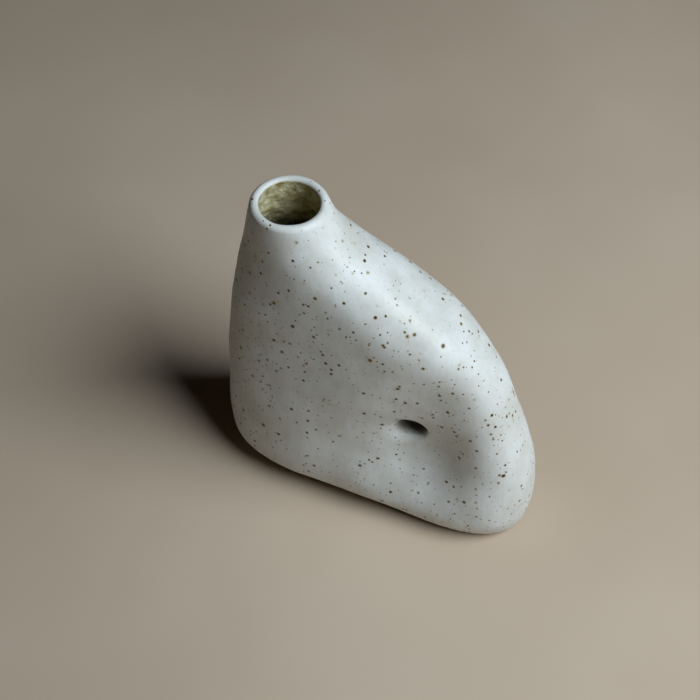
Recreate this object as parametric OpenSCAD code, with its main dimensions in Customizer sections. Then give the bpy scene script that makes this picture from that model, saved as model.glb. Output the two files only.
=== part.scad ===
// Hand-built stoneware bud vase: a hollow loop form with an upright round neck at the
// left, an arch that slopes down to a thick right leg, and a small hole through the body.
// Front faces -Y, the neck is towards -X and the flat foot stands on z = 0.
// All sizes are in millimetres.

/* [Overall size] */
// Height from the table to the top of the lip
vase_h = 152; // [138:1:166]
// Length of the clay from the left side to the right leg
vase_l = 138; // [124:1:152]
// Thickness from front to back before the waist and the hollows are pressed in
vase_t = 63; // [57:1:69]

/* [Walls and glaze] */
// Thickness of the clay wall in the body
wall = 5; // [4:0.5:6]
// Thickness of the clay wall at the lip
lip_wall = 2.6; // [2.2:0.2:3.4]
// Thickness of the base slab
base_t = 6; // [5:1:8]
// Thickness of a glaze coat
glaze_t = 0.4; // [0.4:0.1:0.8]
// Height of the bare clay line left round the foot
bare_h = 2; // [1:0.5:3]

/* [Hole through the body] */
// Position of the hole along the length
hole_x = 19; // [16:1:22]
// Height of the hole's centre
hole_z = 57; // [54:1:60]
// Diameter of the bare clay hole at its narrowest
hole_d = 11; // [10:0.5:13]
// Width over which the hole's mouths flare into the body
hole_flare = 6; // [5:0.5:7]
// Depth of each flared mouth
hole_flare_depth = 6; // [4:0.5:7]

/* [Hollows pressed into the faces] */
// Depth of the hollow round the hole in the front face
front_hollow = 6; // [3:1:9]
// Depth of the hollow round the hole in the back face
back_hollow = 12; // [8:1:15]
// How far the hollow spreads along the length
hollow_spread_x = 21; // [17:1:24]
// How far the hollow spreads in height
hollow_spread_z = 17; // [14:1:20]
// Depth of the waist pressed into the foot between its two ends
waist_depth = 5; // [3:0.5:6]

/* [Smoothness] */
// Facets across each face from the left end to the right end
cols = 24; // [16:2:26]
// Greatest height of one band of facets
band_h = 5.5; // [5:0.5:9]
// Facets round the hole
hole_sides = 24; // [16:4:32]

/* [Shown node] */
// Sub-part to show

/* [Hidden] */

clay_colour = [0.60, 0.51, 0.38];
glaze_colour = [0.83, 0.84, 0.82];
liner_colour = [0.45, 0.41, 0.26];

// Scales of the chosen size against the standard 152 x 138 x 63 form
h_scale = vase_h / 152;
l_scale = vase_l / 138;
t_scale = vase_t / 63;

// The form at each key level: height, left edge, right edge, and thickness of the front
// half and of the back half
form = [
    [  0, -56,   66,   23,   23],
    [  6, -65,   68.5, 27.5, 27.5],
    [ 16, -68.5, 69,   31.5, 31.5],
    [ 40, -69,   66,   28.5, 29.5],
    [ 66, -68,   58,   25.5, 27],
    [ 88, -66,   47.5, 22.5, 26],
    [104, -64,   33.5, 20.5, 27],
    [118, -61.5, 15.5, 19,   24],
    [132, -58.5, -6.5, 17,   18.5],
    [142, -56.5, -19.5, 15.2, 15.5],
    [152, -54.5, -26,  14.2, 14.2]
];
HEIGHT = 0;
LEFT = 1;
RIGHT = 2;
FRONT_T = 3;
BACK_T = 4;
column_scale = [h_scale, l_scale, l_scale, t_scale, t_scale];

// Level sections are ovals: the higher the power, the squarer the oval; 2 is an ellipse
body_power = 2.7;
// Where along the length the body is widest, as a share from the left
widest_at = 0.45;
// Between these levels the body's section turns into the neck's even ellipse
even_from = 96 * h_scale;
even_to = 136 * h_scale;
// How much closer together the facets stand at the two ends than in the middle
end_crowding = 0.3;
// Steepest flank, as run over rise, that a wall is thickened for
steepest = 2;

// Hollow round the hole: its deepest point sits a little right of and below the hole
hollow_x = hole_x + 1;
hollow_z = hole_z - 5;
// Touches pressed into the front face alone. Each has its place right of the hole and above
// it, its spread along the length and in height, and its depth
front_touches = [
    [11, -12, 13, 19, 8.5], // dent between the hole and the leg
    [12,  26, 17, 12, 3.5]  // hollow under the inner edge of the arch
];
// Waist of the foot: where it is, how wide it spreads and the height it fades out at
waist_x = -5 * l_scale;
waist_spread = 24 * l_scale;
waist_fade_h = 70 * h_scale;

// Levels of the seams between one course of clay and the next
seam_foot = 20 * h_scale;
seam_lower = 40 * h_scale;
seam_pierced = 76 * h_scale;
seam_shoulder = 92 * h_scale;
seam_arch = 112 * h_scale;
seam_collar = 130 * h_scale;
seam_neck = vase_h - lip_wall - 1;
// The wall thins from the body to the lip above this level
thin_from = seam_arch;

hole_r = hole_d / 2;
hole_mouth_r = hole_r + hole_flare;
// Radius of the tunnel wall on the side facing the cavity
tunnel_r = hole_mouth_r - 1.5;
// How far the tunnel wall keeps its full radius behind the body wall
tunnel_root = 1.5;
flare_steps = 4;
// Facets over the lip, and after how many of them the outer glaze meets the liner glaze
lip_steps = 6;
lip_meet = 4;

FRONT = -1;
BACK = 1;

// ---------- the form ----------

// Number of the last key level at or below the given height
function key_below(z) =
    max([for (i = [0 : len(form) - 2]) form[i][HEIGHT] * h_scale <= z ? i : 0]);

// Slope of one column of the form at a key level
function key_slope(i, col) =
    let (a = max(i - 1, 0), b = min(i + 1, len(form) - 1))
    (form[b][col] - form[a][col]) / (form[b][HEIGHT] - form[a][HEIGHT]) / h_scale;

// Smooth curve through one column of the form
function curve(z, col) =
    let (h = min(max(z, 0), vase_h),
         i = key_below(h),
         a = form[i],
         b = form[i + 1],
         run = (b[HEIGHT] - a[HEIGHT]) * h_scale,
         t = (h - a[HEIGHT] * h_scale) / run,
         blend = t * t * (3 - 2 * t))
    column_scale[col] * (a[col] + (b[col] - a[col]) * blend
        + run * t * (1 - t) * (1 - t) * key_slope(i, col)
        - run * t * t * (1 - t) * key_slope(i + 1, col));

// How much longer a wall is, measured level, where the form's flank leans
function lean(z, col) =
    let (slope = (curve(z + 1, col) - curve(z - 1, col)) / 2)
    sqrt(1 + pow(min(abs(slope), steepest), 2));

// How far the section has turned into the neck's ellipse at a height, from 0 to 1
function evenness(z) =
    let (t = min(max((z - even_from) / (even_to - even_from), 0), 1))
    t * t * (3 - 2 * t);

// Share of the half thickness reached at x by an oval from l to r, widest at mid
function oval_share(x, l, mid, r, power) =
    let (u = x < mid ? (mid - x) / (mid - l) : (x - mid) / (r - mid))
    pow(max(1 - pow(min(u, 1), power), 0), 1 / power);

// Share of a hollow's depth felt at a distance along and up from its deepest point
function dip(along_x, up, spread_x, spread_z) =
    exp(-pow(along_x / spread_x, 2) / 2 - pow(up / spread_z, 2) / 2);

// Depth pressed into the front face by the touches
function touched(x, z) =
    [for (t = front_touches) t[4] * dip(x - hole_x - t[0], z - hole_z - t[1], t[2], t[3])]
        * [for (t = front_touches) 1];

// Depth pressed into a face at one place by the hollow, the touches and the waist
function pressed(x, z, face) =
    (face == FRONT ? front_hollow : back_hollow)
        * dip(x - hollow_x, z - hollow_z, hollow_spread_x, hollow_spread_z)
    + (face == FRONT ? touched(x, z) : 0)
    + waist_depth * max(1 - z / waist_fade_h, 0)
        * exp(-pow((x - waist_x) / waist_spread, 2) / 2);

// Sizes of one level surface that lies the given distance inside the clay's outside:
// left edge, right edge, x of the widest place, power of the oval, and thickness of the
// front half and of the back half
function level(z, inset) =
    let (l = curve(z, LEFT) + inset * lean(z, LEFT),
         r = curve(z, RIGHT) - inset * lean(z, RIGHT),
         front = curve(z, FRONT_T) - inset * lean(z, FRONT_T),
         back = curve(z, BACK_T) - inset * lean(z, BACK_T),
         even = evenness(z))
    [l, r, l + (r - l) * (widest_at + (0.5 - widest_at) * even),
     body_power + (2 - body_power) * even, front, back];

// Distance of a face from the middle plane at x, on a surface sized by level()
function face_y(x, z, s, face) =
    face * ((face == FRONT ? s[4] : s[5]) - pressed(x, z, face))
        * oval_share(x, s[0], s[2], s[1], s[3]);

// Share of the length at facet i, with the facets crowded towards both ends
function along(i) =
    let (t = i / cols - end_crowding * sin(360 * i / cols) / (2 * PI))
    (1 - cos(180 * t)) / 2;

// Closed ring of points round the form at one height, front face first
function ring(z, inset) =
    let (s = level(z, inset),
         xs = [for (i = [0 : cols]) s[0] + (s[1] - s[0]) * along(i)])
    concat([for (i = [0 : cols]) [xs[i], face_y(xs[i], z, s, FRONT), z]],
           [for (i = [cols - 1 : -1 : 1]) [xs[i], face_y(xs[i], z, s, BACK), z]]);

// Thickness of the clay wall at a height
function wall_at(z) =
    let (t = min(max((z - thin_from) / (seam_neck - thin_from), 0), 1))
    wall + (lip_wall - wall) * t;

// Heights from a to b in even bands
function heights(a, b) =
    let (n = ceil((b - a) / band_h - 0.001))
    [for (k = [0 : n]) a + (b - a) * k / n];

// Ring on the rounded lip: angle 0 is its outside, 90 its top and 180 its inside
function lip_ring(angle, coat) =
    let (half = lip_wall / 2)
    ring(vase_h - half + (half + coat) * sin(angle), half - (half + coat) * cos(angle));

// Rings over part of the lip, from facet a to facet b
function lip_rings(a, b, coat) = [for (k = [a : b]) lip_ring(180 * k / lip_steps, coat)];

function reversed(list) = [for (i = [len(list) - 1 : -1 : 0]) list[i]];

// ---------- solids made from rings ----------

// Side facets between ring a and ring b, each with n points
function side_facets(a, b, n) =
    [for (i = [0 : n - 1])
        let (k = (i + 1) % n)
        each [[a * n + i, b * n + i, b * n + k], [a * n + i, b * n + k, a * n + k]]];

// Level facets that close a ring of the form, from its left end to its right end
function cap_facets(first, up) =
    let (n = 2 * cols,
         strips = concat([[0, n - 1, 1]],
                         [for (i = [1 : cols - 2]) [i, n - i, n - i - 1, i + 1]],
                         [[cols - 1, cols + 1, cols]]))
    [for (f = strips) [for (p = (up ? f : reversed(f))) first + p]];

// Solid whose skin runs through the rings and from the last ring back to the first
module hoop(rings) {
    n = len(rings[0]);
    count = len(rings);
    polyhedron(points = [for (r = rings) each r],
               faces = [for (j = [0 : count - 1]) each side_facets(j, (j + 1) % count, n)]);
}

// Solid whose skin runs through the rings, with its first and last ring capped
module capped(rings) {
    n = len(rings[0]);
    count = len(rings);
    polyhedron(points = [for (r = rings) each r],
               faces = concat([for (j = [0 : count - 2]) each side_facets(j, j + 1, n)],
                              cap_facets(0, false),
                              cap_facets((count - 1) * n, true)));
}

// One course of clay wall between two seams
module course(low, high) {
    levels = heights(low, high);
    hoop(concat([for (z = levels) ring(z, 0)],
                [for (z = reversed(levels)) ring(z, wall_at(z))]));
}

// ---------- the hole ----------

// Points of a circle of facets round the hole's axis, as x and z
function hole_circle(r) =
    [for (k = [0 : hole_sides - 1])
        [hole_x + r * cos(360 * k / hole_sides), hole_z + r * sin(360 * k / hole_sides)]];

// Ring round the hole, the given depth behind a face that lies inset inside the clay
function hole_ring(r, face, inset, depth) =
    [for (p = hole_circle(r))
        [p[0], face_y(p[0], p[1], level(p[1], inset), face) - face * depth, p[1]]];

// Rings of one flared mouth of the hole, from the body's face into the hole
function mouth_rings(face, coat) =
    [for (k = [0 : flare_steps])
        let (a = 90 * k / flare_steps)
        hole_ring(hole_mouth_r - hole_flare * sin(a) - coat * sin(a), face, 0,
                  hole_flare_depth * (1 - cos(a)) - coat * cos(a))];

// Bore of the hole from the front face to the back face
function bore_rings(coat) =
    concat(mouth_rings(FRONT, coat), reversed(mouth_rings(BACK, coat)));

// Block that clears the tunnel wall's place out of a wall or coat
module tunnel_place() {
    rotate([90, 0, 0])
        linear_extrude(height = 2 * vase_t, center = true)
            polygon(hole_circle(hole_mouth_r));
}

// ---------- the clay ----------

// Solid slab that closes the bottom; its underside is the flat foot
module base_slab() {
    color(clay_colour)
        capped([for (z = concat([0], heights(bare_h, base_t))) ring(z, 0)]);
}

// First course of wall, standing on the slab
module foot_course() {
    color(clay_colour) course(base_t, seam_foot);
}

// Course that carries the widest part of the body
module lower_course() {
    color(clay_colour) course(seam_foot, seam_lower);
}

// Course whose two faces are pressed in and cut through for the tunnel
module pierced_course() {
    color(clay_colour) difference() {
        course(seam_lower, seam_pierced);
        tunnel_place();
    }
}

// Course over the hole, where the arch begins to lean in
module shoulder_course() {
    color(clay_colour) course(seam_pierced, seam_shoulder);
}

// Course that closes the sloping arch over the right leg
module arch_course() {
    color(clay_colour) course(seam_shoulder, seam_arch);
}

// Course that gathers the arch into the root of the neck
module collar_course() {
    color(clay_colour) course(seam_arch, seam_collar);
}

// Upright round neck
module neck_course() {
    color(clay_colour) course(seam_collar, seam_neck);
}

// Coil on top of the neck, rounded over to make the lip
module lip_coil() {
    color(clay_colour)
        hoop(concat([ring(seam_neck, 0)],
                    lip_rings(0, lip_steps, 0),
                    [ring(seam_neck, wall_at(seam_neck))]));
}

// Tube of clay that joins the front and back walls round the hole
module tunnel_wall() {
    color(clay_colour)
        hoop(concat(bore_rings(0),
                    [hole_ring(hole_mouth_r, BACK, wall, 0),
                     hole_ring(tunnel_r, BACK, wall, tunnel_root),
                     hole_ring(tunnel_r, FRONT, wall, tunnel_root),
                     hole_ring(hole_mouth_r, FRONT, wall, 0)]));
}

// ---------- the glaze ----------

// Heights from the bare line to the top of the neck wall
outside_heights = concat(heights(bare_h, base_t), heights(base_t, seam_foot),
                         heights(seam_foot, seam_lower), heights(seam_lower, seam_pierced),
                         heights(seam_pierced, seam_shoulder), heights(seam_shoulder, seam_arch),
                         heights(seam_arch, seam_collar), heights(seam_collar, seam_neck));
// The same list with each seam's height once only
outside_levels = [for (i = [0 : len(outside_heights) - 1])
                     if (i == 0 || outside_heights[i] > outside_heights[i - 1] + 0.01)
                         outside_heights[i]];
// Heights inside the cavity that the liner glaze covers
cavity_levels = [for (z = outside_levels) if (z > base_t - 0.01) z];

// Speckled pale coat over the whole outside and over the lip
module outer_glaze() {
    color(glaze_colour) difference() {
        hoop(concat([for (z = outside_levels) ring(z, -glaze_t)],
                    lip_rings(0, lip_meet, glaze_t),
                    reversed(lip_rings(0, lip_meet, 0)),
                    [for (z = reversed(outside_levels)) ring(z, 0)]));
        tunnel_place();
    }
}

// The same coat, through the hole from face to face
module tunnel_glaze() {
    color(glaze_colour)
        hoop(concat(bore_rings(glaze_t), reversed(bore_rings(0))));
}

// Clear coat over the mouth's inner edge and the wall and floor of the cavity
module liner_glaze() {
    color(liner_colour) difference() {
        capped(concat([for (z = cavity_levels) ring(z, wall_at(z))],
                      reversed(lip_rings(lip_meet, lip_steps, 0)),
                      lip_rings(lip_meet, lip_steps, glaze_t),
                      [for (z = reversed(cavity_levels))
                          ring(max(z, base_t + glaze_t), wall_at(z) + glaze_t)]));
        tunnel_place();
    }
}

base_slab();
foot_course();
lower_course();
pierced_course();
shoulder_course();
arch_course();
collar_course();
neck_course();
lip_coil();
tunnel_wall();
outer_glaze();
tunnel_glaze();
liner_glaze();
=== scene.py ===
"""Looks of a hand-built stoneware bud vase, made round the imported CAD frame.

The vase is one fired body: clay courses under a speckled pale glaze, with a clear liner
glaze inside. Every piece of it is made here from the CAD's form at a finer step, with the
marks of the potter's hands added.
"""
import logging
import math
from dataclasses import dataclass, field
from enum import Enum
from typing import Any, Dict, List, NamedTuple, Sequence, Tuple, Union

import bpy
import numpy as np
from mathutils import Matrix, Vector, noise


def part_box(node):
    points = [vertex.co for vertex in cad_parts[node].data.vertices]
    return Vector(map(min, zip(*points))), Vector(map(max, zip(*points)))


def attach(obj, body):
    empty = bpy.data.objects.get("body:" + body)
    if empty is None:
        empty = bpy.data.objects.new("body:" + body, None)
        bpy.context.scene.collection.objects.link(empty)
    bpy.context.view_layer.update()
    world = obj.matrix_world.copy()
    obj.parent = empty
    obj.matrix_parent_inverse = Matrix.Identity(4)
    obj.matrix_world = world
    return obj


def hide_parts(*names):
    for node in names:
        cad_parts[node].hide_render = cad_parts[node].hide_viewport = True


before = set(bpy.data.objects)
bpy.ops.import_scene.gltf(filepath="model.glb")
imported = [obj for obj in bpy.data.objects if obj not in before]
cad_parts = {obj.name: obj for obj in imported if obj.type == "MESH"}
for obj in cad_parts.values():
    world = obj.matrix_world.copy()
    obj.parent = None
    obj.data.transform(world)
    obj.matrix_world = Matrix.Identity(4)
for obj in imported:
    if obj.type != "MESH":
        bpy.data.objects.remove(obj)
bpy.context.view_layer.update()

logging.basicConfig(level=logging.INFO, format="%(levelname)s %(message)s")
LOG = logging.getLogger("bud_vase")

MM = 0.001
# the noise that bends the surface would differ on every run without a fixed seed
NOISE_SEED = 4
Array = np.ndarray


# ---------- colours and nodes ----------


def linear(hex_colour: str) -> Tuple[float, float, float, float]:
    """Turn an sRGB hex colour into the linear values that shaders use.

    Args:
        hex_colour: colour such as "#D9DCD6".

    Returns:
        Linear red, green, blue and full alpha.
    """
    parts = [int(hex_colour[i : i + 2], 16) / 255 for i in (1, 3, 5)]
    out = [c / 12.92 if c <= 0.04045 else ((c + 0.055) / 1.055) ** 2.4 for c in parts]
    return (out[0], out[1], out[2], 1.0)


Stops = Sequence[Tuple[float, Tuple[float, float, float, float]]]


def add(
    tree: bpy.types.NodeTree, kind: str, inputs: Dict[Any, Any], stops: Stops = (), **settings: Any
) -> bpy.types.Node:
    """Add one node with its settings, values and links.

    Args:
        tree: node tree that gets the node.
        kind: Blender's name of the node type.
        inputs: value or output socket for each input, by name or number.
        stops: position and linear colour of each stop, for a colour ramp.
        settings: properties of the node.

    Returns:
        The new node.
    """
    node = tree.nodes.new(kind)
    for name, value in settings.items():
        setattr(node, name, value)
    for key, value in inputs.items():
        if isinstance(value, bpy.types.NodeSocket):
            tree.links.new(value, node.inputs[key])
        else:
            node.inputs[key].default_value = value
    if stops:
        elements = node.color_ramp.elements
        while len(elements) < len(stops):
            elements.new(0.5)
        for element, (position, colour) in zip(elements, stops):
            element.position = position
            element.color = colour
    return node


def per_mm(size_mm: float) -> float:
    """Texture scale, in metres of object space, for a pattern of this size."""
    return 1.0 / (size_mm * MM)


def crumple(place: Vector) -> float:
    """Rough noise in octaves, each half as large and half as strong as the last."""
    fall, finer, octaves = 1.0, 2.0, 3
    return noise.fractal(place, fall, finer, octaves)


def dip(x: Array, z: Array, spread_x: float, spread_z: float) -> Array:
    """Smooth hollow, 1 deep at the origin, that fades out over its two spreads."""
    return np.exp(-((x / spread_x) ** 2) / 2 - (z / spread_z) ** 2 / 2)


# ---------- the form ----------


class Face(Enum):
    """The two broad faces of the body; the value is the face's side of the middle plane."""

    FRONT = -1
    BACK = 1


@dataclass(frozen=True)
class KeyLevel:
    """Outline of the clay at one height, in millimetres."""

    height: float
    left: float
    right: float
    front: float
    back: float


@dataclass(frozen=True)
class Touch:
    """One hollow that the potter's fingers pressed into the front face, in millimetres."""

    x: float
    z: float
    spread_x: float
    spread_z: float
    depth: float


@dataclass(frozen=True)
class HandMark:
    """One size of the unevenness that pinching and scraping leave, in millimetres."""

    span: float
    reach: float
    seed: float


class Section(NamedTuple):
    """Sizes of one level section: its edges, its two half thicknesses, its widest x, its oval power."""

    left: Array
    right: Array
    front: Array
    back: Array
    middle: Array
    power: Array


@dataclass(frozen=True)
class Form:
    """The vase's shape: the CAD's curves, with hand marks and an uneven mouth to the hole."""

    height: float
    lip_base: float
    base: float
    bare: float
    hole_x: float
    hole_z: float
    wall: float = 5.0
    lip_wall: float = 2.6
    thin_from: float = 112.0
    coat: float = 0.4
    levels: Tuple[KeyLevel, ...] = (
        KeyLevel(0, -56, 66, 23, 23),
        KeyLevel(6, -65, 68.5, 27.5, 27.5),
        KeyLevel(16, -68.5, 69, 31.5, 31.5),
        KeyLevel(40, -69, 66, 28.5, 29.5),
        KeyLevel(66, -68, 58, 25.5, 27),
        KeyLevel(88, -66, 47.5, 22.5, 26),
        KeyLevel(104, -64, 33.5, 20.5, 27),
        KeyLevel(118, -61.5, 15.5, 19, 24),
        KeyLevel(132, -58.5, -6.5, 17, 18.5),
        KeyLevel(142, -56.5, -19.5, 15.2, 15.5),
        KeyLevel(152, -54.5, -26, 14.2, 14.2),
    )
    body_power: float = 2.7
    widest_at: float = 0.45
    even_from: float = 96.0
    even_to: float = 136.0
    hole_r: float = 5.5
    flare: float = 4.4
    flare_swing: float = 3.0
    flare_depth: float = 6.0
    tight_deg: float = 8.0
    hollow_x: float = 20.0
    hollow_z: float = 52.0
    hollow_spread_x: float = 21.0
    hollow_spread_z: float = 17.0
    front_hollow: float = 6.0
    back_hollow: float = 12.0
    waist_x: float = -5.0
    waist_spread: float = 24.0
    waist_depth: float = 5.0
    waist_fade: float = 70.0
    steepest: float = 2.0
    foot_stays: float = 6.0
    touches: Tuple[Touch, ...] = (
        # dent pressed in between the hole and the leg
        Touch(x=30, z=45, spread_x=13, spread_z=19, depth=8.5),
        # hollow under the inner edge of the arch
        Touch(x=31, z=83, spread_x=17, spread_z=12, depth=3.5),
    )
    hand_marks: Tuple[HandMark, ...] = (
        HandMark(span=48, reach=0.9, seed=3.1),
        HandMark(span=17, reach=0.42, seed=7.7),
        HandMark(span=5.5, reach=0.1, seed=1.3),
    )

    @classmethod
    def in_frame(cls) -> "Form":
        """Read the heights and the hole's place from the frame.

        Returns:
            The form whose foot line, slab, lip and hole lie where the frame has them.
        """
        slab, lip, coat, tunnel = (
            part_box(node) for node in ("base_slab", "lip_coil", "outer_glaze", "tunnel_wall")
        )
        hole = (tunnel[0] + tunnel[1]) / 2 / MM
        return cls(
            height=lip[1].z / MM,
            lip_base=lip[0].z / MM,
            base=slab[1].z / MM,
            bare=coat[0].z / MM,
            hole_x=hole.x,
            hole_z=hole.z,
        )

    def curve(self, z: Array, part: str) -> Array:
        """Smooth curve through one measure of the key levels.

        Args:
            z: heights.
            part: "left", "right", "front" or "back".

        Returns:
            The measure at each height.
        """
        heights = np.array([k.height for k in self.levels])
        values = np.array([getattr(k, part) for k in self.levels])
        low = np.maximum(np.arange(len(heights)) - 1, 0)
        high = np.minimum(np.arange(len(heights)) + 1, len(heights) - 1)
        slope = (values[high] - values[low]) / (heights[high] - heights[low])
        h = np.clip(z, 0.0, self.height)
        i = np.clip(np.searchsorted(heights, h, side="right") - 1, 0, len(heights) - 2)
        run = heights[i + 1] - heights[i]
        t = (h - heights[i]) / run
        blend = t * t * (3 - 2 * t)
        bend = run * t * (1 - t) * ((1 - t) * slope[i] - t * slope[i + 1])
        return values[i] + (values[i + 1] - values[i]) * blend + bend

    def lean(self, z: Array, part: str) -> Array:
        """How much longer a wall is, measured level, where the flank leans."""
        slope = (self.curve(z + 1, part) - self.curve(z - 1, part)) / 2
        return np.sqrt(1 + np.minimum(np.abs(slope), self.steepest) ** 2)

    def wall_at(self, z: Array) -> Array:
        """Thickness of the clay wall at a height."""
        t = np.clip((z - self.thin_from) / (self.lip_base - self.thin_from), 0, 1)
        return self.wall + (self.lip_wall - self.wall) * t

    def pressed(self, x: Array, z: Array, side: Array) -> Array:
        """Depth pressed into a face by the hollow, the waist and the touches.

        Args:
            x: places along the length.
            z: heights.
            side: -1 on the front face, 1 on the back face.

        Returns:
            The depth at each place.
        """
        hollow = dip(x - self.hollow_x, z - self.hollow_z, self.hollow_spread_x, self.hollow_spread_z)
        depth = np.where(side < 0, self.front_hollow, self.back_hollow) * hollow
        waist = np.exp(-(((x - self.waist_x) / self.waist_spread) ** 2) / 2)
        depth = depth + self.waist_depth * np.maximum(1 - z / self.waist_fade, 0) * waist
        for touch in self.touches:
            here = dip(x - touch.x, z - touch.z, touch.spread_x, touch.spread_z)
            depth = depth + np.where(side < 0, touch.depth, 0.0) * here
        return depth

    def section(self, z: Array, inset: Array) -> Section:
        """Sizes of the level section that lies inset inside the clay's outside.

        Args:
            z: heights.
            inset: distance inside the outside; negative is outside it.

        Returns:
            The section's sizes at each height.
        """
        left = self.curve(z, "left") + inset * self.lean(z, "left")
        right = self.curve(z, "right") - inset * self.lean(z, "right")
        front = self.curve(z, "front") - inset * self.lean(z, "front")
        back = self.curve(z, "back") - inset * self.lean(z, "back")
        t = np.clip((z - self.even_from) / (self.even_to - self.even_from), 0, 1)
        even = t * t * (3 - 2 * t)
        middle = left + (right - left) * (self.widest_at + (0.5 - self.widest_at) * even)
        power = self.body_power + (2 - self.body_power) * even
        return Section(left, right, front, back, middle, power)

    def face_y(self, x: Array, z: Array, side: Array, inset: Array) -> Array:
        """Place of a face across the thickness.

        Args:
            x: places along the length.
            z: heights.
            side: -1 on the front face, 1 on the back face.
            inset: distance inside the clay's outside.

        Returns:
            The y of the surface.
        """
        cut = self.section(z, inset)
        half = np.where(side < 0, cut.front, cut.back)
        to_left = (cut.middle - x) / (cut.middle - cut.left)
        to_right = (x - cut.middle) / (cut.right - cut.middle)
        u = np.where(x < cut.middle, to_left, to_right)
        oval = np.maximum(1 - np.clip(u, 0, 1) ** cut.power, 0) ** (1 / cut.power)
        return side * (half - self.pressed(x, z, side)) * oval

    def flare_at(self, turn: Array) -> Array:
        """Width of the hole's rolled mouth by direction: broad on the left, tight on the right."""
        tight = math.radians(self.tight_deg)
        return self.flare + self.flare_swing * np.cos(turn - tight - math.pi)

    def warp(self, points: Array) -> Array:
        """Move points as the potter's hands left them, by a smooth field that all pieces share.

        Args:
            points: places in millimetres, one per row.

        Returns:
            The moved places; none sinks below the table.
        """
        moved = points.copy()
        for mark in self.hand_marks:
            away = Vector((mark.seed, mark.seed * 2, mark.seed * 3))
            drift = [noise.noise_vector(Vector(p) / mark.span + away) for p in points]
            moved += mark.reach * np.array(drift)
        standing = np.clip(points[:, 2:3] / self.foot_stays, 0, 1)
        return points + (moved - points) * standing


# ---------- nets: which points join into faces ----------


@dataclass(frozen=True)
class HoleCut:
    """Block of a net's cells, on both faces, that makes room for the rings round the hole."""

    first_col: int
    last_col: int
    first_row: int
    last_row: int

    @property
    def loop(self) -> List[Tuple[int, int]]:
        """Row and column of each point on the block's edge, anticlockwise on the front."""
        low, high = self.first_row, self.last_row
        left, right = self.first_col, self.last_col
        return (
            [(low, c) for c in range(left, right)]
            + [(r, right) for r in range(low, high)]
            + [(high, c) for c in range(right, left, -1)]
            + [(r, left) for r in range(high, low, -1)]
        )

    def holds(self, row: int, col: int) -> bool:
        """Whether the cell above and right of this point is in the block."""
        return self.first_row <= row < self.last_row and self.first_col <= col < self.last_col


@dataclass
class Surface:
    """Points, in millimetres, and faces of a surface; faces turn their front outwards."""

    points: Array
    faces: List[Tuple[int, ...]]


@dataclass(frozen=True)
class Path:
    """Level lines that a surface runs through: the height of each, and its inset in the clay."""

    heights: Array
    insets: Array

    @staticmethod
    def through(levels: Sequence[Tuple[float, float]]) -> "Path":
        """Path through pairs of height and inset."""
        table = np.array(levels)
        return Path(table[:, 0], table[:, 1:])


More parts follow.
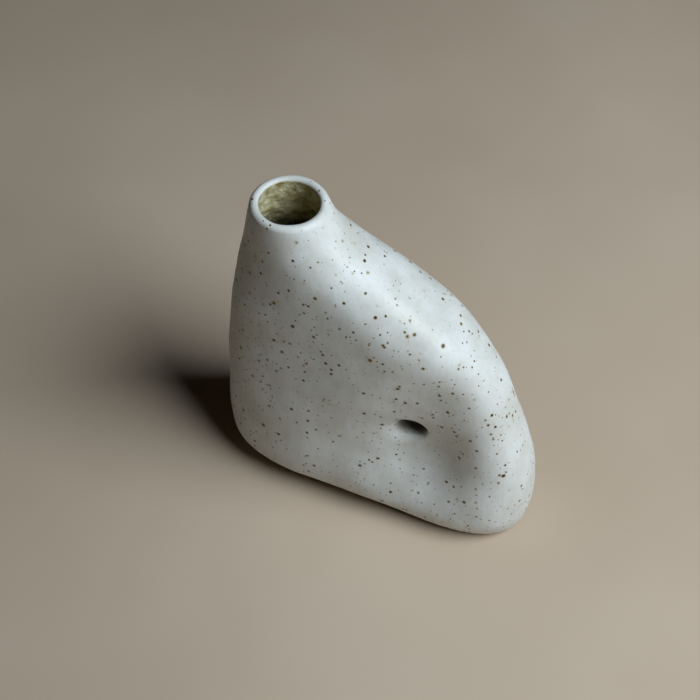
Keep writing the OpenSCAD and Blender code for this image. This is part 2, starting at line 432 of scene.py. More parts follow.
@dataclass(frozen=True)
class Net:
    """Level rows of points round the form, with rings of points round the hole.

    Two surfaces made with one net have the same faces, so a shell is stitched between them.
    """

    form: Form
    cols: int
    pierced: bool = False
    bored: bool = False
    floor: bool = False
    lid: bool = False
    ragged: float = 0.0
    ragged_fade: float = 6.0
    ragged_waves: float = 4.0
    face_rings: int = 5
    flare_rings: int = 10
    bore_rings: int = 6
    block: float = 15.0

    @property
    def around(self) -> int:
        """Number of points in one row."""
        return 2 * self.cols

    def shares(self) -> Tuple[Array, Array]:
        """Spread the points of a row round the form, crowded towards the two ends.

        Returns:
            Share of the length, and side of the middle plane, of each point.
        """
        k = np.arange(self.around)
        i = np.where(k <= self.cols, k, self.around - k)
        return (1 - np.cos(np.pi * i / self.cols)) / 2, np.where(k <= self.cols, -1.0, 1.0)

    def cut(self, path: Path) -> HoleCut:
        """Find the block of cells that the rings round the hole take the place of.

        Args:
            path: levels of the rows.

        Returns:
            The block.
        """
        form = self.form
        share, _ = self.shares()
        at_hole = np.array([form.hole_z])
        left, right = form.curve(at_hole, "left"), form.curve(at_hole, "right")
        x = left + (right - left) * share[: self.cols + 1]
        return HoleCut(
            int(np.argmin(abs(x - form.hole_x + self.block))),
            int(np.argmin(abs(x - form.hole_x - self.block))),
            int(np.argmin(abs(path.heights - form.hole_z + self.block))),
            int(np.argmin(abs(path.heights - form.hole_z - self.block))),
        )

    def rows(self, path: Path) -> Array:
        """Place the points of all rows.

        Args:
            path: height and inset of each row.

        Returns:
            The points, as rows by columns by three.
        """
        share, side = self.shares()
        z = path.heights[:, None] + 0 * share
        if self.ragged:
            turns = share * side * math.pi
            wander = [crumple(Vector((math.cos(a), math.sin(a), 0)) * self.ragged_waves) for a in turns]
            fade = np.clip(1 - (z - self.form.bare) / self.ragged_fade, 0, 1)
            z = z + self.ragged * np.array(wander) * fade
        deep = path.insets + 0 * z
        cut = self.form.section(z, deep)
        x = cut.left + (cut.right - cut.left) * share
        return np.stack([x, self.form.face_y(x, z, side + 0 * z, deep), z], axis=-1)

    def hole_rings(self, path: Path, inset: float) -> List[Array]:
        """Rings of points from the block's edge on the front, through the hole, to the back.

        Args:
            path: levels of the rows.
            inset: distance inside the clay's outside; a coat's thickness is negative.

        Returns:
            The rings between the two edges, in order; unbored nets stop at the two mouths.
        """
        form = self.form
        loop = self.cut(path).loop
        bare = self.rows(Path(path.heights, 0 * path.heights[:, None]))
        edge = np.array([bare[r, c] for r, c in loop])
        turn = np.arctan2(edge[:, 2] - form.hole_z, edge[:, 0] - form.hole_x)
        reach = np.hypot(edge[:, 0] - form.hole_x, edge[:, 2] - form.hole_z)
        flare = form.flare_at(turn)
        mouth = form.hole_r + flare
        grow = -inset if self.bored else 0.0
        sides = []
        for face in Face:
            rings = []
            for m in range(1, self.face_rings + 1):
                radius = reach + (mouth - reach) * m / self.face_rings
                rings.append(self.hole_ring(turn, radius, 0.0, face, inset))
            for m in range(1, self.flare_rings + 1 if self.bored else 1):
                a = math.pi / 2 * m / self.flare_rings
                depth = (form.flare_depth + grow) * (1 - math.cos(a))
                rings.append(self.hole_ring(turn, mouth - (flare + grow) * math.sin(a), depth, face, inset))
            sides.append(rings)
        front, back = sides
        bore = []
        if self.bored:
            span = back[-1] - front[-1]
            bore = [front[-1] + span * m / self.bore_rings for m in range(1, self.bore_rings)]
        return front + bore + back[::-1]

    def hole_ring(self, turn: Array, radius: Array, depth: float, face: Face, inset: float) -> Array:
        """Ring of points round the hole, sunk behind a face.

        Args:
            turn: direction of each point from the hole's middle.
            radius: distance of each point from the hole's middle.
            depth: how far the ring lies behind the face.
            face: the face.
            inset: distance of that face inside the clay's outside.

        Returns:
            The ring's points.
        """
        x = self.form.hole_x + radius * np.cos(turn)
        z = self.form.hole_z + radius * np.sin(turn)
        y = self.form.face_y(x, z, face.value + 0 * x, inset + 0 * x)
        return np.stack([x, y - face.value * depth, z], axis=-1)

    def surface(self, path: Path, hole_inset: float = 0.0) -> Surface:
        """Points and faces of the surface along a path.

        Args:
            path: height and inset of each row.
            hole_inset: inset of the rings round the hole.

        Returns:
            The surface, before the warp.
        """
        points = self.rows(path).reshape(-1, 3)
        n = self.around
        block = self.cut(path) if self.pierced else None
        faces: List[Tuple[int, ...]] = []
        for r in range(len(path.heights) - 1):
            for k in range(n):
                if block and block.holds(r, k if k < self.cols else n - k - 1):
                    continue
                a, b = r * n + k, r * n + (k + 1) % n
                faces.append((a, b, b + n, a + n))
        if block:
            rings = self.hole_rings(path, hole_inset)
            first, size = len(points), len(block.loop)
            points = np.concatenate([points] + rings)
            chain = [[r * n + c for r, c in block.loop]]
            chain += [list(range(first + q * size, first + (q + 1) * size)) for q in range(len(rings))]
            chain += [[r * n + (n - c) % n for r, c in block.loop]]
            for q, (near, far) in enumerate(zip(chain, chain[1:])):
                if self.bored or q != self.face_rings:
                    faces += [(near[m - 1], near[m], far[m], far[m - 1]) for m in range(size)]
        if self.floor:
            faces += self.cap(0, False)
        if self.lid:
            faces += self.cap((len(path.heights) - 1) * n, True)
        return Surface(points, faces)

    def cap(self, start: int, up: bool) -> List[Tuple[int, ...]]:
        """Level faces that close a row.

        Args:
            start: number of the row's first point.
            up: whether the faces look up; else they look down.

        Returns:
            The faces.
        """
        n = self.around
        strips: List[Tuple[int, ...]] = [(0, n - 1, 1)]
        strips += [(i, n - i, n - i - 1, i + 1) for i in range(1, self.cols - 1)]
        strips.append((self.cols - 1, self.cols + 1, self.cols))
        turned = [f[::-1] for f in strips]
        return [tuple(start + p for p in f) for f in (turned if up else strips)]


def tidy(surface: Surface) -> Surface:
    """Leave out the points that no face uses.

    Args:
        surface: any surface.

    Returns:
        The same faces on the points that they use.
    """
    used = np.unique(np.concatenate([np.array(f) for f in surface.faces]))
    number = np.full(len(surface.points), -1)
    number[used] = np.arange(len(used))
    return Surface(surface.points[used], [tuple(int(number[p]) for p in f) for f in surface.faces])


def shell(outer: Surface, inner: Surface) -> Surface:
    """Stitch a closed shell between two surfaces made with one net.

    Args:
        outer: surface that faces outwards.
        inner: surface that faces the cavity, with the same faces.

    Returns:
        The closed shell.
    """
    count = len(outer.points)
    edges = {(a, b) for f in outer.faces for a, b in zip(f, f[1:] + f[:1])}
    rim = sorted(e for e in edges if (e[1], e[0]) not in edges)
    faces = list(outer.faces)
    faces += [tuple(count + p for p in f[::-1]) for f in inner.faces]
    faces += [(b, a, count + a, count + b) for a, b in rim]
    return tidy(Surface(np.concatenate([outer.points, inner.points]), faces))


def hoop(rings: Sequence[Array]) -> Surface:
    """Close a surface through rings of points and from the last ring back to the first.

    Args:
        rings: rings with the same number of points.

    Returns:
        The closed surface.
    """
    n = len(rings[0])
    faces: List[Tuple[int, ...]] = []
    for j in range(len(rings)):
        a, b = j * n, (j + 1) % len(rings) * n
        faces += [(a + k, a + (k + 1) % n, b + (k + 1) % n, b + k) for k in range(n)]
    return Surface(np.concatenate(rings), faces)


# angles round the lip's section, in degrees
LIP_OUTSIDE = 0.0
LIP_INSIDE = 180.0


def steps(low: float, high: float, step: float) -> List[float]:
    """Divide a height evenly.

    Args:
        low: first height.
        high: last height.
        step: longest step; a thousandth more of it is let pass, so rounding adds no step.

    Returns:
        The heights, both ends included.
    """
    slack = 0.001
    count = max(1, math.ceil((high - low) / step - slack))
    return [low + (high - low) * k / count for k in range(count + 1)]


def lip_path(form: Form, start: float, end: float, count: int, coat: float) -> List[Tuple[float, float]]:
    """Height and inset of rows over the rounded lip.

    Args:
        form: the vase's shape.
        start: first angle in degrees, between LIP_OUTSIDE and LIP_INSIDE; the top is halfway.
        end: last angle.
        count: number of steps.
        coat: thickness of glaze on the clay.

    Returns:
        Height and inset of each row.
    """
    half = form.lip_wall / 2
    angles = [math.radians(start + (end - start) * k / count) for k in range(count + 1)]
    r = half + coat
    return [(form.height - half + r * math.sin(a), half - r * math.cos(a)) for a in angles]


# ---------- finishes ----------


Tree = bpy.types.NodeTree
Socket = bpy.types.NodeSocket
Amount = Union[float, Socket]


class Ease(Enum):
    """How a tone comes up: evenly, or slowly at both ends."""

    EVEN = "LINEAR"
    SMOOTH = "SMOOTHSTEP"


@dataclass(frozen=True)
class Wash:
    """Two tones that drift into each other in cloudy patches; size in millimetres."""

    size: float
    detail: float
    tones: Tuple[Tuple[float, str], Tuple[float, str]]

    def lay(self, tree: Tree, place: Socket) -> Tuple[Socket, Socket]:
        """Lay the wash.

        Args:
            tree: the material's node tree.
            place: place on the object, in metres.

        Returns:
            The wash's colour, and the cloudy measure that it follows.
        """
        cloud = {"Vector": place, "Scale": per_mm(self.size), "Detail": self.detail}
        measure = add(tree, "ShaderNodeTexNoise", cloud).outputs["Fac"]
        stops = [(at, linear(colour)) for at, colour in self.tones]
        return add(tree, "ShaderNodeValToRGB", {"Fac": measure}, stops=stops).outputs["Color"], measure


@dataclass(frozen=True)
class Tint:
    """A tone that comes up over the ground as a measure goes from one value to another."""

    colour: str
    start: float
    end: float
    most: float
    ease: Ease = Ease.SMOOTH

    def over(self, tree: Tree, measure: Socket, ground: Socket) -> Socket:
        """Lay the tone over a ground colour.

        Args:
            tree: the material's node tree.
            measure: what the tone follows.
            ground: colour under the tone.

        Returns:
            The colour with the tone on it.
        """
        span = {"Value": measure, "From Min": self.start, "From Max": self.end, "To Max": self.most}
        amount = add(tree, "ShaderNodeMapRange", span, interpolation_type=self.ease.value)
        shares = {0: amount.outputs[0], 6: ground, 7: linear(self.colour)}
        return add(tree, "ShaderNodeMix", shares, data_type="RGBA").outputs[2]


@dataclass(frozen=True)
class Finish:
    """A procedural material; each finish below fills in its own nodes."""

    name: str

    def material(self) -> bpy.types.Material:
        """Make the material from the finish's nodes.

        Returns:
            The material.
        """
        material = bpy.data.materials.new(self.name)
        material.use_nodes = True
        tree = material.node_tree
        tree.nodes.clear()
        place = add(tree, "ShaderNodeTexCoord", {}).outputs["Object"]
        shader = self.dress(tree, place)
        add(tree, "ShaderNodeOutputMaterial", {"Surface": shader.outputs["BSDF"]})
        return material

    def dress(self, tree: Tree, place: Socket) -> bpy.types.Node:
        """Add the finish's nodes.

        Args:
            tree: the material's node tree.
            place: socket with the place on the object, in metres.

        Returns:
            The surface shader.
        """
        raise NotImplementedError


@dataclass(frozen=True, kw_only=True)
class FiredFinish(Finish):
    """A finish out of the kiln: a ground with relief, whose bump height is in millimetres."""

    roughness: float
    ior: float = 1.5
    bump: float = 0.6
    bump_height: float = 0.15

    def fired(self, tree: Tree, colour: Socket, relief: Socket, roughness: Amount) -> bpy.types.Node:
        """Close the finish with its relief and its shader.

        Args:
            tree: the material's node tree.
            colour: the surface's colour.
            relief: height of the relief.
            roughness: a number or a socket.

        Returns:
            The surface shader.
        """
        raised = {"Strength": self.bump, "Distance": self.bump_height * MM, "Height": relief}
        normal = add(tree, "ShaderNodeBump", raised).outputs["Normal"]
        skin = {"Base Color": colour, "Roughness": roughness, "IOR": self.ior, "Normal": normal}
        return add(tree, "ShaderNodeBsdfPrincipled", skin)


@dataclass(frozen=True)
class SpeckSize:
    """One size of iron speck: spacing and radii in millimetres, and how many spaces hold one."""

    spacing: float
    smallest: float
    largest: float
    chance: float
    strength: float


@dataclass(frozen=True)
class IronSpecks:
    """Iron grains in the clay that melt through the glaze as brown dots with a rusty edge.

    Sizes are in millimetres. An edge is given as its outer and inner end, in radii of a speck.
    """

    sizes: Tuple[SpeckSize, ...]
    colours: Tuple[str, ...] = ("#1A130C", "#2E1D0A", "#5E3408", "#241A10", "#7A5A14", "#1E1610")
    halo: str = "#A08A4E"
    halo_strength: float = 0.5
    bend_size: float = 0.7
    bend: float = 0.45
    drift_size: float = 30.0
    drift_range: Tuple[float, float] = (0.36, 0.64)
    drift_share: Tuple[float, float] = (0.35, 1.45)
    small_bias: float = 1.7
    dot_edge: Tuple[float, float] = (1.0, 0.68)
    halo_edge: Tuple[float, float] = (1.6, 0.9)

    def over(self, tree: Tree, place: Socket, ground: Socket) -> Tuple[Socket, Socket]:
        """Draw the specks over a ground colour.

        Args:
            tree: the material's node tree.
            place: place on the object, in metres.
            ground: colour between the specks.

        Returns:
            Colour with specks, and a mask that is 1 on them.
        """
        # grains are crushed grit, so their outlines are bent a little
        crush = {"Vector": place, "Scale": per_mm(self.bend_size), "Detail": 1.0}
        bend = add(tree, "ShaderNodeTexNoise", crush).outputs["Color"]
        even = add(tree, "ShaderNodeVectorMath", {0: bend, 1: (0.5, 0.5, 0.5)}, operation="SUBTRACT")
        pushed = {0: even.outputs[0], 1: (self.bend * MM,) * 3, 2: place}
        bent = add(tree, "ShaderNodeVectorMath", pushed, operation="MULTIPLY_ADD").outputs[0]
        # they lie in drifts, as the clay was wedged
        wedge = {"Vector": place, "Scale": per_mm(self.drift_size), "Detail": 2.0}
        drift = add(
            tree,
            "ShaderNodeMapRange",
            {
                "Value": add(tree, "ShaderNodeTexNoise", wedge).outputs["Fac"],
                "From Min": self.drift_range[0],
                "From Max": self.drift_range[1],
                "To Min": self.drift_share[0],
                "To Max": self.drift_share[1],
            },
        ).outputs[0]
        colour, covered = ground, None
        for size in self.sizes:
            colour, dots = self.draw(tree, size, bent, drift, colour)
            if covered is None:
                covered = dots
            else:
                both = {0: covered, 1: dots}
                covered = add(tree, "ShaderNodeMath", both, operation="MAXIMUM").outputs[0]
        return colour, covered

    def draw(
        self, tree: Tree, size: SpeckSize, bent: Socket, drift: Socket, ground: Socket
    ) -> Tuple[Socket, Socket]:
        """Draw the specks of one size.

        Args:
            tree: the material's node tree.
            size: their size.
            bent: place on the object, bent for rough outlines.
            drift: how thick they lie here.
            ground: colour between them.

        Returns:
            Colour with specks, and how much of each place they cover.
        """
        grid = {"Vector": bent, "Scale": per_mm(size.spacing), "Randomness": 1.0}
        cell = add(tree, "ShaderNodeTexVoronoi", grid)
        dice = add(tree, "ShaderNodeSeparateColor", {"Color": cell.outputs["Color"]})
        chance = add(tree, "ShaderNodeMath", {0: drift, 1: size.chance}, operation="MULTIPLY")
        drawn = {0: dice.outputs["Red"], 1: chance.outputs[0]}
        here = add(tree, "ShaderNodeMath", drawn, operation="LESS_THAN").outputs[0]
        # small grains are far commoner than large ones
        biased = {0: dice.outputs["Green"], 1: self.small_bias}
        rank = add(tree, "ShaderNodeMath", biased, operation="POWER").outputs[0]
        small, large = size.smallest / size.spacing, size.largest / size.spacing
        radius = add(tree, "ShaderNodeMapRange", {"Value": rank, "To Min": small, "To Max": large})
        tone = add(
            tree,
            "ShaderNodeValToRGB",
            {"Fac": dice.outputs["Blue"]},
            stops=[(i / (len(self.colours) - 1), linear(c)) for i, c in enumerate(self.colours)],
        ).outputs["Color"]
        colour, amount = ground, None
        layers = (
            (self.halo_edge, self.halo_strength * size.strength, linear(self.halo)),
            (self.dot_edge, size.strength, tone),
        )
        for edge, strength, paint in layers:
            rim, core = (
                add(tree, "ShaderNodeMath", {0: radius.outputs[0], 1: end}, operation="MULTIPLY").outputs[0]
                for end in edge
            )
            span = {"Value": cell.outputs["Distance"], "From Min": rim, "From Max": core}
            disc = add(tree, "ShaderNodeMapRange", span, interpolation_type=Ease.SMOOTH.value)
            mask = add(tree, "ShaderNodeMath", {0: disc.outputs[0], 1: here}, operation="MULTIPLY")
            thinned = {0: mask.outputs[0], 1: strength}
            amount = add(tree, "ShaderNodeMath", thinned, operation="MULTIPLY").outputs[0]
            colour = add(
                tree, "ShaderNodeMix", {0: amount, 6: colour, 7: paint}, data_type="RGBA"
            ).outputs[2]
        return colour, amount


@dataclass(frozen=True)
class SpeckledGlaze(FiredFinish):
    """Satin off-white glaze, poured and brushed over speckled stoneware, fired to cone 6.

    To the eye it is cool white and nearly matt, a little cloudy, with brown iron dots, and it
    turns warmer where it lies thin.
    """

    ground: Wash = Wash(size=16.0, detail=4.0, tones=((0.3, "#D3D5D0"), (0.62, "#E4E8E8")))
    dragged: Tint = Tint("#B7AC94", start=0.45, end=0.75, most=0.16, ease=Ease.EVEN)
    drag_size: float = 1.6
    drag_stretch: float = 0.16
    foot_edge: Tint = Tint("#B7AC94", start=6.5 * MM, end=2.0 * MM, most=0.75)
    # painted shade: a dark tone laid over the bore of the hole, where shade falls
    painted_bore_shade: Tint = Tint("#6A6552", start=7.4 * MM, end=5.2 * MM, most=0.9)
    hole: Tuple[float, float] = (0.0, 0.0)
    peel_size: float = 1.1
    peel_share: float = 0.45
    pin_spacing: float = 2.6
    pin_radii: Tuple[float, float] = (0.05, 0.1)
    dots_sink: float = -0.5
    roughness: float = 0.46
    sheen_range: Tuple[float, float] = (0.3, 0.7)
    sheen_swing: Tuple[float, float] = (-0.06, 0.08)
    specks: IronSpecks = IronSpecks(
        sizes=(
            SpeckSize(spacing=2.4, smallest=0.2, largest=0.44, chance=0.8, strength=1.0),
            SpeckSize(spacing=3.6, smallest=0.36, largest=0.8, chance=0.85, strength=1.0),
            SpeckSize(spacing=6.4, smallest=0.5, largest=1.05, chance=0.7, strength=1.0),
            # grains that stayed under the glaze and only darken it
            SpeckSize(spacing=3.3, smallest=0.25, largest=0.7, chance=0.3, strength=0.22),
        )
    )

    def dress(self, tree: Tree, place: Socket) -> bpy.types.Node:
        """Add the glaze's nodes; see Finish.dress."""
        ground, clouds = self.ground.lay(tree, place)
        # brush drag: faint streaks down the walls
        stretch = {0: place, 1: (1.0, 1.0, self.drag_stretch)}
        drawn_out = add(tree, "ShaderNodeVectorMath", stretch, operation="MULTIPLY").outputs[0]
        bristles = {"Vector": drawn_out, "Scale": per_mm(self.drag_size), "Detail": 3.0}
        streaks = add(tree, "ShaderNodeTexNoise", bristles).outputs["Fac"]
        ground = self.dragged.over(tree, streaks, ground)
        # the coat thins out just above the bare foot
        height = add(tree, "ShaderNodeSeparateXYZ", {"Vector": place}).outputs["Z"]
        ground = self.foot_edge.over(tree, height, ground)
        # painted shade: the coat darkens towards the hole's axis, standing in for the shade inside the bore
        ground = self.painted_bore_shade.over(tree, self.from_axis(tree, place), ground)
        colour, dots = self.specks.over(tree, place, ground)
        # orange-peel of the melt, and pinholes where gas came through
        ripple = {"Vector": place, "Scale": per_mm(self.peel_size), "Detail": 3.0}
        peel = add(tree, "ShaderNodeTexNoise", ripple).outputs["Fac"]
        grid = {"Vector": place, "Scale": per_mm(self.pin_spacing)}
        holes = add(tree, "ShaderNodeTexVoronoi", grid).outputs["Distance"]
        pin = add(
            tree,
            "ShaderNodeMapRange",
            {"Value": holes, "From Min": self.pin_radii[0], "From Max": self.pin_radii[1]},
            interpolation_type=Ease.SMOOTH.value,
        ).outputs[0]
        melt = {0: peel, 1: self.peel_share, 2: pin}
        melted = add(tree, "ShaderNodeMath", melt, operation="MULTIPLY_ADD").outputs[0]
        sunk = {0: dots, 1: self.dots_sink, 2: melted}
        relief = add(tree, "ShaderNodeMath", sunk, operation="MULTIPLY_ADD").outputs[0]
        sheen = add(
            tree,
            "ShaderNodeMapRange",
            {
                "Value": clouds,
                "From Min": self.sheen_range[0],
                "From Max": self.sheen_range[1],
                "To Min": self.roughness + self.sheen_swing[0],
                "To Max": self.roughness + self.sheen_swing[1],
            },
        ).outputs[0]
        return self.fired(tree, colour, relief, sheen)

    def from_axis(self, tree: Tree, place: Socket) -> Socket:
        """Measure how far a place is from the hole's axis.

        Args:
            tree: the material's node tree.
            place: place on the object, in metres.

        Returns:
            The distance, in metres.
        """
        middle = (self.hole[0] * MM, 0.0, self.hole[1] * MM)
        away = add(tree, "ShaderNodeVectorMath", {0: place, 1: middle}, operation="SUBTRACT").outputs[0]
        level = {0: away, 1: (1.0, 0.0, 1.0)}
        across = add(tree, "ShaderNodeVectorMath", level, operation="MULTIPLY").outputs[0]
        return add(tree, "ShaderNodeVectorMath", {0: across}, operation="LENGTH").outputs["Value"]


@dataclass(frozen=True, kw_only=True)
class GrainyFinish(FiredFinish):
    """A finish whose relief is the grain of the clay, with the iron specks standing out of it."""

    ground: Wash
    grain_size: float
    specks_rise: float
    specks: IronSpecks

    def dress(self, tree: Tree, place: Socket) -> bpy.types.Node:
        """Add the nodes of ground, specks and grain; see Finish.dress."""
        ground = self.toned(tree, place, self.ground.lay(tree, place)[0])
        colour, dots = self.specks.over(tree, place, ground)
        sand = {"Vector": place, "Scale": per_mm(self.grain_size), "Detail": 4.0}
        grain = add(tree, "ShaderNodeTexNoise", sand).outputs["Fac"]
        raised = {0: dots, 1: self.specks_rise, 2: grain}
        relief = add(tree, "ShaderNodeMath", raised, operation="MULTIPLY_ADD").outputs[0]
        return self.fired(tree, colour, relief, self.roughness)

    def toned(self, tree: Tree, place: Socket, ground: Socket) -> Socket:
        """Lay further tones over the ground; none unless a finish has its own."""
        return ground


@dataclass(frozen=True)
class LinerGlaze(GrainyFinish):
    """Clear liner glaze, poured in and out again, over rough speckled clay.

    To the eye it is glossy khaki, with dark grains and small glints off the pinched clay.
    """

    ground: Wash = Wash(size=4.5, detail=5.0, tones=((0.34, "#A0945F"), (0.62, "#E4DDB8")))
    # painted shade: darker tone deeper in the cavity, below the neck
    painted_depth_shade: Tint = Tint("#3A3118", start=140 * MM, end=116 * MM, most=0.9)
    grain_size: float = 0.9
    specks_rise: float = 0.6
    roughness: float = 0.2
    ior: float = 1.52
    bump: float = 0.9
    bump_height: float = 0.35
    specks: IronSpecks = IronSpecks(
        sizes=(
            SpeckSize(spacing=1.7, smallest=0.12, largest=0.34, chance=0.5, strength=0.7),
            SpeckSize(spacing=3.4, smallest=0.25, largest=0.6, chance=0.5, strength=0.85),
        ),
        halo="#5C4F28",
    )

    def toned(self, tree: Tree, place: Socket, ground: Socket) -> Socket:
        """Painted shade: darken the liner from below the neck downwards, deep in the cavity where shade
        falls.
        """
        height = add(tree, "ShaderNodeSeparateXYZ", {"Vector": place}).outputs["Z"]
        return self.painted_depth_shade.over(tree, height, ground)


@dataclass(frozen=True)
class Stoneware(GrainyFinish):
    """Bare buff stoneware with iron grit, sponged smooth and fired unglazed.

    To the eye it is matt brown, sandy, with darker grains.
    """

    ground: Wash = Wash(size=11.0, detail=5.0, tones=((0.3, "#6F5836"), (0.68, "#8F7650")))
    grain_size: float = 0.5
    specks_rise: float = 0.7
    roughness: float = 0.88
    bump: float = 0.8
    specks: IronSpecks = IronSpecks(
        sizes=(
            SpeckSize(spacing=1.5, smallest=0.1, largest=0.25, chance=0.5, strength=0.6),
            SpeckSize(spacing=4.0, smallest=0.25, largest=0.6, chance=0.5, strength=0.9),
        ),
        halo="#6B4E2A",
    )


@dataclass(frozen=True)
class PaleTable(Finish):
    """Smooth pale table top, painted matt; plain, with only a faint wash of tone."""

    ground: Wash = Wash(size=180.0, detail=3.0, tones=((0.35, "#C3B09B"), (0.65, "#CCBAA6")))
    roughness: float = 0.7

    def dress(self, tree: Tree, place: Socket) -> bpy.types.Node:
        """Add the table's nodes; see Finish.dress."""
        colour, _ = self.ground.lay(tree, place)
        return add(tree, "ShaderNodeBsdfPrincipled", {"Base Color": colour, "Roughness": self.roughness})


# ---------- pieces ----------


@dataclass(frozen=True)
class Label:
    """What a piece is called, a material slot name that is kept here but not given to the mesh, and the CAD
    nodes that it stands for.
    """

    name: str
    slot: str
    nodes: Tuple[str, ...]


@dataclass
class Bench:
    """Where surfaces become pieces of the vase."""

    form: Form
    body: str = "root"
    sharp_deg: float = 48.0
    made: List[str] = field(default_factory=list)

    def finish_piece(self, label: Label, surface: Surface, material: bpy.types.Material) -> bpy.types.Object:
        """Make one piece and tie it to the frame.

        Args:
            label: its name and CAD nodes; its slot is not used.
            surface: its closed surface in millimetres, before the warp.
            material: its material.

        Returns:
            The new object.
        """
        whole = tidy(surface)
        mesh = bpy.data.meshes.new(label.name)
        mesh.from_pydata((self.form.warp(whole.points) * MM).tolist(), [], whole.faces)
        mesh.materials.append(material)
        mesh.shade_smooth()
        mesh.set_sharp_from_angle(angle=math.radians(self.sharp_deg))
        piece = bpy.data.objects.new(label.name, mesh)
        bpy.context.scene.collection.objects.link(piece)
        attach(piece, self.body)
        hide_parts(*label.nodes)
        self.made.append(label.name)
        LOG.info("%s: %d points, %d faces", label.name, len(whole.points), len(whole.faces))
        return piece


@dataclass
class ClayBody:
    """The fired clay: slab, courses of wall, lip coil and the tube round the hole."""

    bench: Bench
    clay: bpy.types.Material
    cols: int = 96
    step: float = 2.4
    slot: str = "stoneware_clay"
    slab_step: float = 0.6
    lip_steps: int = 14
    edge_round: float = 0.8
    edge_steps: int = 5
    tunnel_root: float = 1.5
    courses: Tuple[str, ...] = (
        "foot_course",
        "lower_course",
        "pierced_course",
        "shoulder_course",
        "arch_course",
        "collar_course",
        "neck_course",
    )

    def build(self) -> None:
        """Build all the clay pieces, from the foot up."""
        self.build_slab()
        for name in self.courses:
            low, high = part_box(name)
            self.build_course(name, low.z / MM, high.z / MM)
        self.build_lip()
        self.build_tunnel()

    def add_piece(self, node: str, surface: Surface) -> None:
        """Finish one clay piece that stands for the CAD node of that name."""
        self.bench.finish_piece(Label(f"clay_{node}", self.slot, (node,)), surface, self.clay)

    def build_slab(self) -> None:
        """Build the base slab, its bare edge sponged round."""
        form, r = self.bench.form, self.edge_round
        turns = [math.pi / 2 * k / self.edge_steps for k in range(self.edge_steps)]
        levels = [(r - r * math.cos(a), r - r * math.sin(a)) for a in turns]
        levels += [(z, 0.0) for z in steps(r, form.base, self.slab_step)]
        net = Net(form, self.cols, floor=True, lid=True)
        self.add_piece("base_slab", net.surface(Path.through(levels)))

    def build_course(self, node: str, low: float, high: float) -> None:
        """Build one course of wall.

        Args:
            node: the CAD node it stands for.
            low: height of its lower seam.
            high: height of its upper seam.
        """
        form = self.bench.form
        pierced = low < form.hole_z < high
        net = Net(form, self.cols, pierced=pierced)
        heights = steps(low, high, self.step)
        outer = net.surface(Path.through([(z, 0.0) for z in heights]))
        inner = net.surface(Path.through([(z, float(form.wall_at(z))) for z in heights]), form.wall)
        self.add_piece(node, shell(outer, inner))

    def build_lip(self) -> None:
        """Build the coil that is rounded over at the mouth."""
        form = self.bench.form
        levels = [(form.lip_base, 0.0)]
        levels += lip_path(form, LIP_OUTSIDE, LIP_INSIDE, self.lip_steps, 0.0)
        levels += [(form.lip_base, form.lip_wall)]
        self.add_piece("lip_coil", hoop(list(Net(form, self.cols).rows(Path.through(levels)))))

    def build_tunnel(self) -> None:
        """Build the tube that joins the two faces round the hole."""
        form = self.bench.form
        net = Net(form, self.cols, pierced=True, bored=True)
        path = Path.through([(z, 0.0) for z in steps(form.base, form.lip_base, self.step)])
        whole = net.hole_rings(path, 0.0)
        rings = whole[net.face_rings - 1 : len(whole) - net.face_rings + 1]
        middle = np.array([form.hole_x, 0.0, form.hole_z])
        spokes = (rings[0] - middle)[:, [0, 2]]
        turn, mouth = np.arctan2(spokes[:, 1], spokes[:, 0]), np.hypot(spokes[:, 0], spokes[:, 1])
        tube, root = mouth - self.tunnel_root, self.tunnel_root
        rings = rings + [
            net.hole_ring(turn, mouth, 0.0, Face.BACK, form.wall),
            net.hole_ring(turn, tube, root, Face.BACK, form.wall),
            net.hole_ring(turn, tube, root, Face.FRONT, form.wall),
            net.hole_ring(turn, mouth, 0.0, Face.FRONT, form.wall),
        ]
        self.add_piece("tunnel_wall", hoop(rings))


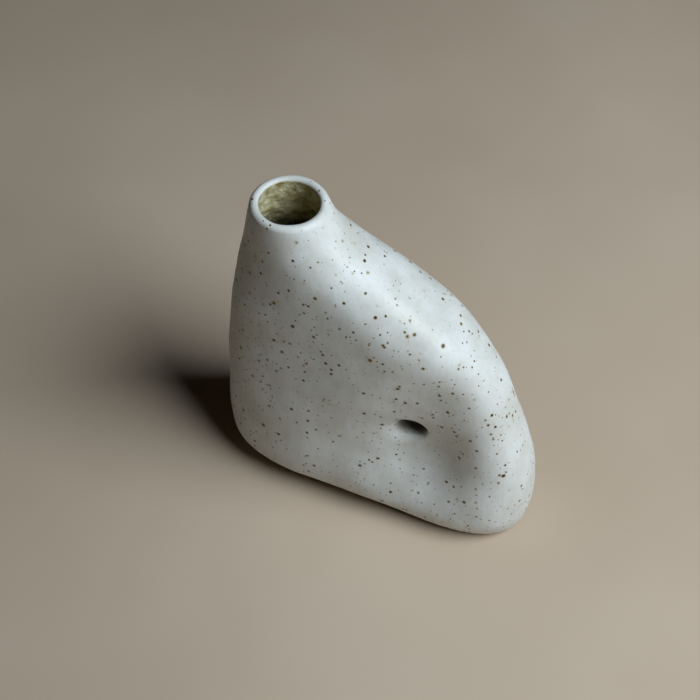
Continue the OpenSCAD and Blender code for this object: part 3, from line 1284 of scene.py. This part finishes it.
@dataclass
class GlazeCoats:
    """The speckled coat over the outside, lip and hole, and the clear liner in the cavity.

    Lengths are in millimetres. The coat grows from its thinnest share at the foot line to full.
    The liner is pinched rough from rough_from upwards, and smooth again where the lip begins.
    """

    bench: Bench
    speckled: bpy.types.Material
    liner: bpy.types.Material
    cols: int = 160
    step: float = 1.25
    lip_steps: int = 13
    meet_deg: float = 156.0
    ragged: float = 0.7
    foot_levels: Tuple[float, ...] = (0.0, 0.15, 0.4, 0.8, 1.4)
    wall_from: float = 2.2
    full_at: float = 0.6
    thinnest: float = 0.1
    liner_cols: int = 112
    liner_step: float = 2.4
    liner_lip_steps: int = 6
    rough_step: float = 0.7
    rough_from: float = 96.0
    rough_fade: float = 8.0
    rough_past: float = 1.5
    rough_stop: float = 3.0
    rough: float = 0.32
    rough_span: float = 3.2

    def build(self) -> None:
        """Build both coats."""
        self.build_coat()
        self.build_liner()

    def build_coat(self) -> None:
        """Build the speckled coat: it thins at the foot line and ends inside the lip."""
        form = self.bench.form
        net = Net(form, self.cols, pierced=True, bored=True, ragged=self.ragged)
        heights = [form.bare + d for d in self.foot_levels]
        heights += steps(form.bare + self.wall_from, form.lip_base, self.step)
        grown = [min((z - form.bare) / self.full_at, 1) ** 0.5 for z in heights]
        under = [(z, 0.0) for z in heights]
        under += lip_path(form, LIP_OUTSIDE, self.meet_deg, self.lip_steps, 0.0)
        over = [
            (z, -form.coat * (self.thinnest + (1 - self.thinnest) * share))
            for z, share in zip(heights, grown)
        ]
        over += lip_path(form, LIP_OUTSIDE, self.meet_deg, self.lip_steps, form.coat)
        outer = net.surface(Path.through(over), -form.coat)
        inner = net.surface(Path.through(under), 0.0)
        label = Label("speckled_coat", "pale_speckled_glaze", ("outer_glaze", "tunnel_glaze"))
        self.bench.finish_piece(label, shell(outer, inner), self.speckled)

    def build_liner(self) -> None:
        """Build the liner: a coat on the cavity's wall and floor, rough where it can be seen."""
        form = self.bench.form
        net = Net(form, self.liner_cols, pierced=True, floor=True)
        heights = steps(form.base, self.rough_from, self.liner_step)[:-1]
        heights += steps(self.rough_from, form.lip_base, self.rough_step)
        wall = [(z, float(form.wall_at(z))) for z in heights]
        wall += lip_path(form, LIP_INSIDE, self.meet_deg, self.liner_lip_steps, 0.0)
        skin = [(max(z, form.base + form.coat), float(form.wall_at(z)) + form.coat) for z in heights]
        skin += lip_path(form, LIP_INSIDE, self.meet_deg, self.liner_lip_steps, form.coat)
        smooth = Path.through(skin)
        grain = [crumple(Vector(p) / self.rough_span) for p in net.rows(smooth).reshape(-1, 3)]
        fade = np.clip((smooth.heights - self.rough_from) / self.rough_fade, 0, 1)
        fade *= np.clip((form.lip_base + self.rough_past - smooth.heights) / self.rough_stop, 0, 1)
        bumps = self.rough * np.array(grain).reshape(len(smooth.heights), -1) * fade[:, None]
        inner = net.surface(Path(smooth.heights, smooth.insets + bumps), form.wall + form.coat)
        outer = net.surface(Path.through(wall), form.wall)
        label = Label("liner_coat", "clear_liner_glaze", ("liner_glaze",))
        self.bench.finish_piece(label, shell(outer, inner), self.liner)


# ---------- the studio ----------


@dataclass
class Studio:
    """Plain pale table, one large soft window-like light and the camera."""

    table: bpy.types.Material
    table_side: float = 4.0
    key_from: Tuple[float, float, float] = (0.95, -0.06, 1.1)
    key_distance: float = 1.0
    key_width: float = 0.65
    key_power: float = 10.5
    key_colour: str = "#EFF9FF"
    air_colour: str = "#8F7040"
    air_strength: float = 0.014
    aim: Tuple[float, float, float] = (-0.0184, 0.007, 0.064)
    camera_turn: float = 24.3
    camera_rise: float = 52.9
    camera_distance: float = 0.614
    lens: float = 75.0

    def build(self) -> None:
        """Build the table, the light and the camera."""
        self.build_table()
        self.build_light()
        self.build_camera()

    def build_table(self) -> None:
        """Lay the table top under the foot."""
        half = self.table_side / 2
        mesh = bpy.data.meshes.new("table_top")
        corners = [(-half, -half, 0), (half, -half, 0), (half, half, 0), (-half, half, 0)]
        mesh.from_pydata(corners, [], [(0, 1, 2, 3)])
        mesh.materials.append(self.table)
        table = bpy.data.objects.new("table_top", mesh)
        bpy.context.scene.collection.objects.link(table)

    def build_light(self) -> None:
        """Hang the soft key light and set the dim air round the table."""
        light = bpy.data.lights.new("soft_key", "AREA")
        light.shape = "DISK"
        light.size = self.key_width
        light.energy = self.key_power
        light.color = linear(self.key_colour)[:3]
        key = bpy.data.objects.new("soft_key", light)
        bpy.context.scene.collection.objects.link(key)
        away = Vector(self.key_from).normalized()
        key.location = Vector(self.aim) + away * self.key_distance
        key.rotation_euler = away.to_track_quat("Z", "Y").to_euler()
        world = bpy.data.worlds.new("studio_air")
        world.use_nodes = True
        back = world.node_tree.nodes["Background"]
        back.inputs["Color"].default_value = linear(self.air_colour)
        back.inputs["Strength"].default_value = self.air_strength
        bpy.context.scene.world = world

    def build_camera(self) -> None:
        """Stand the camera at the right and above, looking down at the front face."""
        lens = bpy.data.cameras.new("camera")
        lens.lens = self.lens
        lens.clip_start = 0.01
        camera = bpy.data.objects.new("camera", lens)
        bpy.context.scene.collection.objects.link(camera)
        turn, rise = math.radians(self.camera_turn), math.radians(self.camera_rise)
        back = Vector((math.sin(turn) * math.cos(rise), -math.cos(turn) * math.cos(rise), math.sin(rise)))
        camera.location = Vector(self.aim) + back * self.camera_distance
        camera.rotation_euler = back.to_track_quat("Z", "Y").to_euler()
        bpy.context.scene.camera = camera
        bpy.context.scene.view_settings.view_transform = "Standard"


def main() -> None:
    """Build the vase and its studio."""
    noise.seed_set(NOISE_SEED)
    Studio(PaleTable("pale_painted_table").material()).build()
    form = Form.in_frame()
    bench = Bench(form)
    ClayBody(bench, Stoneware("bare_buff_stoneware").material()).build()
    GlazeCoats(
        bench,
        SpeckledGlaze("satin_speckled_glaze", hole=(form.hole_x, form.hole_z)).material(),
        LinerGlaze("clear_liner_glaze").material(),
    ).build()
    LOG.info("%d pieces made", len(bench.made))


if __name__ == "__main__":
    main()
